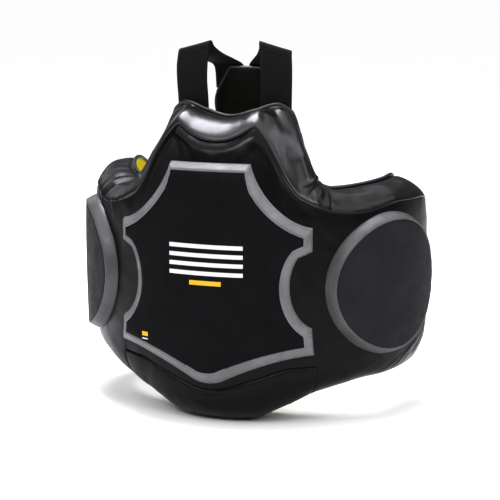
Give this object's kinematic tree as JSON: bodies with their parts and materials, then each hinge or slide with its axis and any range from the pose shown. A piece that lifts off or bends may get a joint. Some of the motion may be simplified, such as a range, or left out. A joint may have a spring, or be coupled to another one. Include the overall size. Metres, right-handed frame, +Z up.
{
  "type": "chest protector",
  "caption": "Padded black body protector for boxing and martial arts coaches: a C-shaped foam shell with a raised belly shield, round side targets, wings that flex and a sprung strap harness.",
  "frame": {"origin": "on the floor, under the middle of the object's box, as it stands on its lower front edge", "axes": "+Z up; the shield faces -Y and the open back faces +Y; +X is to the right of someone looking at the shield"},
  "size_m": [0.5754, 0.322, 0.5696],
  "materials": {
    "gloss_vinyl": "glossy black synthetic leather with soft creases",
    "shield_vinyl": "matte black synthetic leather, fine grain",
    "target_vinyl": "matte dark grey synthetic leather, fine grain",
    "binding": "grey satin synthetic leather, stitched along both edges",
    "lining": "bright yellow padded lining cloth",
    "foam": "closed-cell foam, hidden inside the covers",
    "webbing": "black woven webbing",
    "pad_fabric": "black mesh cloth",
    "hook_and_loop": "black hook-and-loop tape",
    "ring_plastic": "moulded black nylon"
  },
  "bodies": {
    "front_body": {"front_foam_outer": "foam", "front_foam_inner": "foam", "front_cover": "gloss_vinyl", "neck_gusset": "gloss_vinyl", "bottom_gusset": "gloss_vinyl", "front_lining": "lining", "front_top_piping": "gloss_vinyl", "front_bottom_piping": "gloss_vinyl", "shield_foam": "foam", "shield_face": "shield_vinyl", "shield_binding": "binding", "strap_anchors": "webbing", "strap_patches": "gloss_vinyl"},
    "left_wing": {"left_wing_foam_outer": "foam", "left_wing_foam_inner": "foam", "left_wing_cover": "gloss_vinyl", "left_armhole_gusset": "gloss_vinyl", "left_wing_lining": "lining", "left_wing_top_piping": "gloss_vinyl", "left_wing_bottom_piping": "gloss_vinyl", "left_target_foam": "foam", "left_target_face": "target_vinyl", "left_target_binding": "binding", "left_ring_tab": "webbing"},
    "right_wing": {"right_wing_foam_outer": "foam", "right_wing_foam_inner": "foam", "right_wing_cover": "gloss_vinyl", "right_armhole_gusset": "gloss_vinyl", "right_wing_lining": "lining", "right_wing_top_piping": "gloss_vinyl", "right_wing_bottom_piping": "gloss_vinyl", "right_target_foam": "foam", "right_target_face": "target_vinyl", "right_target_binding": "binding", "right_ring_tab": "webbing"},
    "shoulder_straps": {"left_shoulder_strap_front": "webbing", "right_shoulder_strap_front": "webbing"},
    "back_pad": {"left_shoulder_strap_rear": "webbing", "right_shoulder_strap_rear": "webbing", "pad_foam": "foam", "pad_back_cover": "pad_fabric", "pad_lining": "pad_fabric", "pad_binding": "webbing", "side_strap_ends": "webbing"},
    "left_side_strap": {"left_side_strap": "webbing", "left_hook_patch": "hook_and_loop", "left_loop_patch": "hook_and_loop"},
    "left_ring": {"left_strap_ring": "ring_plastic"},
    "right_side_strap": {"right_side_strap": "webbing", "right_hook_patch": "hook_and_loop", "right_loop_patch": "hook_and_loop"},
    "right_ring": {"right_strap_ring": "ring_plastic"}
  },
  "joints": [
    {"name": "right_wing_flex", "type": "hinge", "parent": "front_body", "child": "right_wing", "pos_m": [0.15862, -0.10242, 0.2], "axis": [0, 0, -1], "range_deg": [0, 18], "stiffness_Nm_per_rad": 6},
    {"name": "left_wing_flex", "type": "hinge", "parent": "front_body", "child": "left_wing", "pos_m": [-0.15862, -0.10242, 0.2], "axis": [0, 0, 1], "range_deg": [0, 18], "stiffness_Nm_per_rad": 6},
    {"name": "shoulder_strap_swing", "type": "hinge", "parent": "front_body", "child": "shoulder_straps", "pos_m": [0, -0.031, 0.49], "axis": [1, 0, 0], "range_deg": [-2, 60], "stiffness_Nm_per_rad": 0.6},
    {"name": "back_pad_fold", "type": "hinge", "parent": "shoulder_straps", "child": "back_pad", "pos_m": [0, -0.0288, 0.569], "axis": [1, 0, 0], "range_deg": [-2, 80], "stiffness_Nm_per_rad": 0.5},
    {"name": "right_side_strap_swing", "type": "hinge", "parent": "back_pad", "child": "right_side_strap", "pos_m": [0.027, 0.0231, 0.419], "axis": [1, 0, 0], "range_deg": [-5, 75]},
    {"name": "left_side_strap_swing", "type": "hinge", "parent": "back_pad", "child": "left_side_strap", "pos_m": [-0.027, 0.0231, 0.419], "axis": [1, 0, 0], "range_deg": [-5, 75]},
    {"name": "right_ring_swing", "type": "hinge", "parent": "right_wing", "child": "right_ring", "pos_m": [0.2012, 0.12187, 0.213], "axis": [0, 0, 1], "range_deg": [0, 95]},
    {"name": "left_ring_swing", "type": "hinge", "parent": "left_wing", "child": "left_ring", "pos_m": [-0.2012, 0.12187, 0.213], "axis": [0, 0, -1], "range_deg": [0, 95]}
  ]
}
